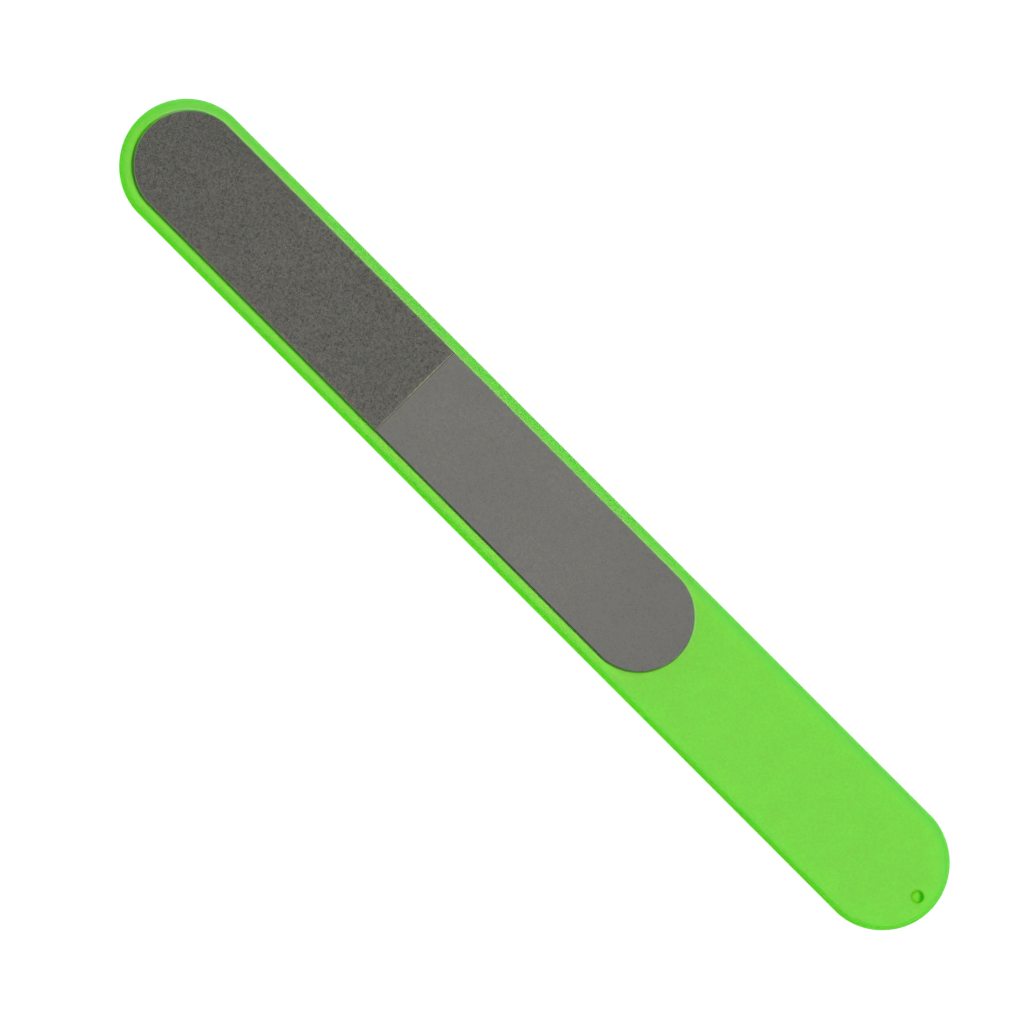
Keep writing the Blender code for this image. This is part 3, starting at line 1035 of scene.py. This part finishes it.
def silicon_carbide_grains(name, grit):
    """Splinters of many greys, in clumps, with a few odd ones and pale rubbed ones at the edges."""
    material, tree = new_material(name)
    tone = add(tree, "ShaderNodeAttribute", attribute_name=TONE).outputs["Fac"]
    wear = add(tree, "ShaderNodeAttribute", attribute_name=WEAR).outputs["Fac"]
    place = add(tree, "ShaderNodeTexCoord").outputs["Object"]
    clumps, drifts = [
        add(tree, "ShaderNodeTexNoise", {"Vector": place, "Scale": 1 / width, "Detail": detail})
        for width, detail in ((CLUMP, 2.0), (DRIFT, 1.0))
    ]
    shift, drift = [
        add(
            tree, RANGE,
            {
                "Value": noise,
                "From Min": NOISE_LOW,
                "From Max": NOISE_HIGH,
                "To Min": middle - reach,
                "To Max": middle + reach,
            },
        )
        for noise, middle, reach in ((clumps, 0.0, CLUMP_SHIFT), (drifts, 1.0, DRIFT_SHARE))
    ]
    clumped = add(tree, MATH, (tone, shift), operation="ADD", use_clamp=True)
    grey = add(tree, "ShaderNodeValToRGB", {"Fac": clumped})
    stops, shades = grey.color_ramp.elements, grit["greys"]
    while len(stops) < len(shades):
        stops.new(1.0)
    for number, (stop, shade) in enumerate(zip(stops, shades)):
        stop.position = number / (len(shades) - 1)
        stop.color = linear(shade)
    layers = [
        (add(tree, MATH, (tone, least), operation="GREATER_THAN"), shade)
        for shade, least in zip(grit["odd"], ODD_TONES)
    ]
    rubs = add(tree, MATH, (wear, clumps), operation="MULTIPLY")
    layers.append((rubs, grit["rubbed"]))
    colour = grey.outputs["Color"]
    for share, shade in layers:
        colour = add(
            tree, "ShaderNodeMix",
            {"Factor": share, "A": colour, "B": linear(shade)}, data_type="RGBA",
        )
    lengthways = add(tree, "ShaderNodeSeparateXYZ", (place,)).outputs["X"]
    from_seam = add(tree, MATH, (lengthways, SEAM_X), operation="SUBTRACT")
    dirt = add(
        tree, RANGE,
        {
            "Value": add(tree, MATH, (from_seam,), operation="ABSOLUTE"),
            "From Min": DIRTY_FROM,
            "From Max": DIRTY_TO,
            "To Max": DIRTY_SHARE,
        },
    )
    light = add(tree, MATH, (drift, dirt), operation="SUBTRACT")
    soiled = add(
        tree, "ShaderNodeMix",
        {"Factor": 1.0, "A": colour, "B": light}, data_type="RGBA", blend_type="MULTIPLY",
    )
    shader = add(
        tree, "ShaderNodeBsdfPrincipled",
        {
            "Base Color": soiled,
            "Roughness": CARBIDE_ROUGHNESS,
            "IOR": CARBIDE_IOR,
            "Specular IOR Level": CARBIDE_SPECULAR,
        },
    )
    add(tree, "ShaderNodeOutputMaterial", {"Surface": shader})
    return material


for grade, grit in GRITS.items():
    low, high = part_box(f"{grade}_grit_layer")
    insets = [inset + grit["setback"] for inset in COATS[grade]["insets"]]
    sizes = strip_outline(grade, insets, COATS[grade]["tear_depth"]) | grit["sizes"] | {
        "Smallest Share": SMALLEST_SHARE,
        "Foot Height": coat_tops[grade] + grit["foot_rise"],
        "Top": high.z,
        "Map Start": (low.x, low.y, 0.0),
        "Map Span": (high.x - low.x, high.y - low.y, 1.0),
        "Seed": SCATTER_SEED,
        "Finish": silicon_carbide_grains(f"{grade}_silicon_carbide", grit),
    }
    grains = grown(f"{grade}_grains", GRAINS, sizes, angle=0.0)
    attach(grains, "root")
    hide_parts(f"{grade}_grit_layer")

# The studio: a white sheet that glows a little, so that the thin board throws no dark shadow, and
# sweeps up on three sides. Over it are a bright dome, one soft lamp and a long lens.

SHEET_SIZE = 6.0
SHEET_DROP = 0.00002
SHEET_COLOUR = "#8a8a8a"
SHEET_ROUGHNESS = 0.9
GLOW_COLOUR = "#ffffff"
SHEET_GLOW = 0.82
SKY_BRIGHT = 1.68
SKY_DIM = 0.15
SKY_DIRECTION = (0.04, -0.06, 0.997)
SKY_DIM_BELOW = 0.68
SKY_BRIGHT_ABOVE = 0.9
# The sheet sweeps up all round the board, except at the side that the camera leans to.
SWEEP_GLOW = 1.2
SWEEP_HEIGHT = 0.38
SWEEP_NONE_AT = -0.8
SWEEP_FULL_AT = -0.2
SWEEP_BLUR = 0.04
LAMP_SIZE = 0.6
LAMP_POWER = 2.5
LAMP_PLACE = (0.12, -0.1, 0.9)
VIEW_TILT = math.radians(7.5)
VIEW_TURN = math.radians(45.035)
VIEW_DISTANCE = 0.8
VIEW_NEAREST = 0.01
PICTURE_PIXELS = 1023
METRES_PER_PIXEL = 0.00015907
MIDDLE_RIGHT_PIXELS = 23.15
MIDDLE_DOWN_PIXELS = 2.8

stage = bpy.context.scene

half = SHEET_SIZE / 2
corners = [(-half, -half), (half, -half), (half, half), (-half, half)]
mesh = bpy.data.meshes.new("white_sheet")
mesh.from_pydata([(x, y, -SHEET_DROP) for x, y in corners], [], [(0, 1, 2, 3)])
white, white_tree = new_material("white_sheet")
glowing = add(
    white_tree, "ShaderNodeBsdfPrincipled",
    {
        "Base Color": linear(SHEET_COLOUR),
        "Roughness": SHEET_ROUGHNESS,
        "Specular IOR Level": 0.0,
        "Emission Color": linear(GLOW_COLOUR),
        "Emission Strength": SHEET_GLOW,
    },
)
add(white_tree, "ShaderNodeOutputMaterial", {"Surface": glowing})
mesh.materials.append(white)
sheet = bpy.data.objects.new("white_sheet", mesh)
stage.collection.objects.link(sheet)

sky = bpy.data.worlds.new("studio")
sky.use_nodes = True
tree = sky.node_tree
tree.nodes.clear()
direction = add(tree, "ShaderNodeTexCoord").outputs["Generated"]
dome = add(
    tree, RANGE,
    {
        "Value": add(
            tree, "ShaderNodeVectorMath", (direction, SKY_DIRECTION), operation="DOT_PRODUCT"
        ),
        "From Min": SKY_DIM_BELOW,
        "From Max": SKY_BRIGHT_ABOVE,
        "To Min": SKY_DIM,
        "To Max": SKY_BRIGHT,
    },
    interpolation_type="SMOOTHSTEP",
)
seen = add(tree, "ShaderNodeSeparateXYZ", (direction,)).outputs
height = add(
    tree, RANGE,
    {
        "Value": seen["Y"],
        "From Min": SWEEP_NONE_AT,
        "From Max": SWEEP_FULL_AT,
        "To Min": -SWEEP_BLUR,
        "To Max": SWEEP_HEIGHT,
    },
)
above = add(tree, MATH, (seen["Z"], height), operation="SUBTRACT")
sweep = add(
    tree, RANGE,
    {"Value": above, "From Max": SWEEP_BLUR, "To Min": SWEEP_GLOW, "To Max": 0.0},
    interpolation_type="SMOOTHSTEP",
)
brightest = add(tree, MATH, (dome, sweep), operation="MAXIMUM")
light = add(tree, "ShaderNodeBackground", {"Strength": brightest, "Color": linear(GLOW_COLOUR)})
add(tree, "ShaderNodeOutputWorld", {"Surface": light})
stage.world = sky

glow = bpy.data.lights.new("key", "AREA")
glow.shape = "DISK"
glow.size = LAMP_SIZE
glow.energy = LAMP_POWER
lamp = bpy.data.objects.new("key", glow)
lamp.location = LAMP_PLACE
lamp.rotation_euler = Vector(LAMP_PLACE).to_track_quat("Z", "Y").to_euler()
stage.collection.objects.link(lamp)

across = Vector((0, math.cos(VIEW_TILT), math.sin(VIEW_TILT)))
along = Vector((1, 0, 0))
right = along * math.cos(VIEW_TURN) + across * math.sin(VIEW_TURN)
upward = across * math.cos(VIEW_TURN) - along * math.sin(VIEW_TURN)
backward = right.cross(upward)
middle = Vector((0, 0, BLADE_THICKNESS / 2))
aim = middle + METRES_PER_PIXEL * (MIDDLE_DOWN_PIXELS * upward - MIDDLE_RIGHT_PIXELS * right)
lens = bpy.data.cameras.new("camera")
lens.lens = lens.sensor_width * VIEW_DISTANCE / (PICTURE_PIXELS * METRES_PER_PIXEL)
lens.clip_start = VIEW_NEAREST
camera = bpy.data.objects.new("camera", lens)
turn = Matrix((right, upward, backward)).transposed().to_4x4()
camera.matrix_world = Matrix.Translation(aim + backward * VIEW_DISTANCE) @ turn
stage.collection.objects.link(camera)
stage.camera = camera
stage.view_settings.view_transform = "Standard"
